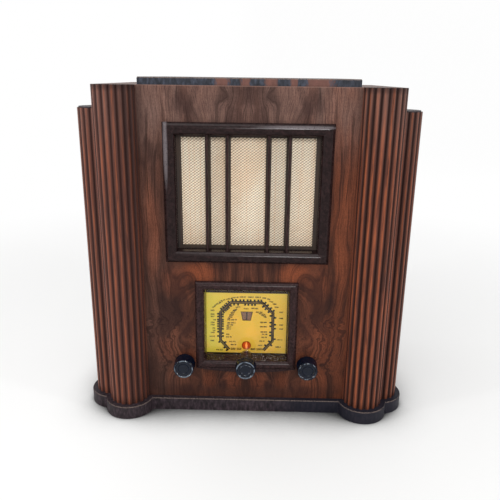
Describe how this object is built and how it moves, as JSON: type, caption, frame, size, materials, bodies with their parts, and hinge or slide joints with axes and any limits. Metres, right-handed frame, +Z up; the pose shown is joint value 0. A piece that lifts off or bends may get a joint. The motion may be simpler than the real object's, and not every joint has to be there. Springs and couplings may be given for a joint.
{
  "type": "table radio receiver",
  "caption": "Table radio receiver: veneered cabinet with reeded corner columns, a framed speaker grille over a round-tracked dial, and knobs that drive its tuning capacitor.",
  "frame": {"origin": "on the underside of the plinth, at the middle of its width and depth", "axes": "+X to the right seen from the front, +Y from the front to the back, +Z up"},
  "size_m": [0.44, 0.268, 0.444],
  "materials": {
    "dark_stained_wood": "satin lacquer",
    "burr_walnut": "polished burr veneer",
    "walnut": "polished veneer",
    "stained_wood": "polished",
    "plain_wood": "raw",
    "board": "pressed fibre board",
    "phenolic": "mottled moulded",
    "paxolin": "laminate",
    "black_plastic": "polished",
    "red_lens": "translucent",
    "cloth": "woven",
    "paper": "pressed paper pulp",
    "black_rubber": "moulded",
    "red_rubber": "insulation",
    "clear_glass": "clear",
    "valve_glass": "clear with silvered top",
    "grey_glass": "grey coating",
    "lamp_glass": "clear",
    "yellow_scale": "printed",
    "black_paint": "satin",
    "red_paint": "satin",
    "plated_steel": "cadmium plated",
    "aluminium": "spun",
    "brass": "turned",
    "iron": "black"
  },
  "bodies": {
    "cabinet": {"plinth": "dark_stained_wood", "front_panel": "burr_walnut", "side_panel_left": "walnut", "side_panel_right": "walnut", "top_panel": "walnut", "top_block": "dark_stained_wood", "column_front_left": "stained_wood", "column_front_right": "stained_wood", "column_side_left": "stained_wood", "column_side_right": "stained_wood", "step_caps": "dark_stained_wood", "battens": "plain_wood", "back_cover": "board", "back_screws": "brass", "grille_frame": "phenolic", "grille_bars": "phenolic", "grille_spacer": "walnut", "grille_cloth": "cloth", "speaker_baffle": "plain_wood", "speaker_basket": "black_paint", "speaker_surround": "paper", "speaker_magnet": "iron", "output_transformer": "iron", "speaker_lead": "red_rubber", "dial_frame": "phenolic", "dial_glass": "clear_glass", "dial_scale": "yellow_scale", "indicator_lens": "red_lens", "dial_bracket": "plated_steel", "dial_lamps": "lamp_glass", "tuning_meter": "paxolin", "volume_control": "paxolin", "wave_switch": "paxolin", "chassis": "plated_steel", "chassis_bolts": "plated_steel", "power_transformer": "iron", "smoothing_cans": "aluminium", "coil_cans": "aluminium", "valve_sockets": "paxolin", "rectifier_valve": "valve_glass", "output_valve": "valve_glass", "mixer_valve": "grey_glass", "if_valve": "grey_glass", "detector_valve": "grey_glass", "valve_shields": "aluminium", "gang_frame": "plated_steel", "gang_stators": "aluminium", "socket_strip": "paxolin", "mains_gland": "black_rubber"},
    "volume": {"volume_knob": "black_plastic", "volume_shaft": "plated_steel"},
    "tuning": {"tuning_knob": "black_plastic", "tuning_spindle": "brass"},
    "wave_change": {"wave_knob": "black_plastic", "wave_shaft": "plated_steel"},
    "pointer_drive": {"pointer": "red_paint", "drive_disc": "brass"},
    "gang": {"gang_rotor": "aluminium"},
    "cone": {"speaker_cone": "paper"},
    "vane": {"meter_vane": "aluminium"}
  },
  "joints": [
    {"name": "tuning_turn", "type": "hinge", "parent": "cabinet", "child": "tuning", "pos_m": [0, -0.101, 0.0704], "axis": [0, 1, 0], "range_deg": [-1880, 0]},
    {"name": "pointer_turn", "type": "hinge", "parent": "cabinet", "child": "pointer_drive", "pos_m": [0, -0.061, 0.1156], "axis": [0, 1, 0], "range_deg": [0, 290]},
    {"name": "gang_turn", "type": "hinge", "parent": "cabinet", "child": "gang", "pos_m": [0.047, -0.001, 0.1156], "axis": [0, 1, 0], "range_deg": [-180, 0]},
    {"name": "volume_turn", "type": "hinge", "parent": "cabinet", "child": "volume", "pos_m": [-0.083, -0.101, 0.0704], "axis": [0, 1, 0], "range_deg": [0, 270]},
    {"name": "wave_change_turn", "type": "hinge", "parent": "cabinet", "child": "wave_change", "pos_m": [0.083, -0.101, 0.0704], "axis": [0, 1, 0], "range_deg": [0, 60]},
    {"name": "cone_travel", "type": "slide", "parent": "cabinet", "child": "cone", "axis": [0, 1, 0], "range_m": [-0.001, 0.001], "stiffness_N_per_m": 1400},
    {"name": "vane_turn", "type": "hinge", "parent": "cabinet", "child": "vane", "pos_m": [0, -0.065, 0.1315], "axis": [0, 0, 1], "range_deg": [0, 60], "stiffness_Nm_per_rad": 0.0001}
  ],
  "couplings": [
    {"joint": "pointer_turn", "follows": "tuning_turn", "ratio": -0.15424},
    {"joint": "gang_turn", "follows": "tuning_turn", "ratio": 0.095736}
  ]
}
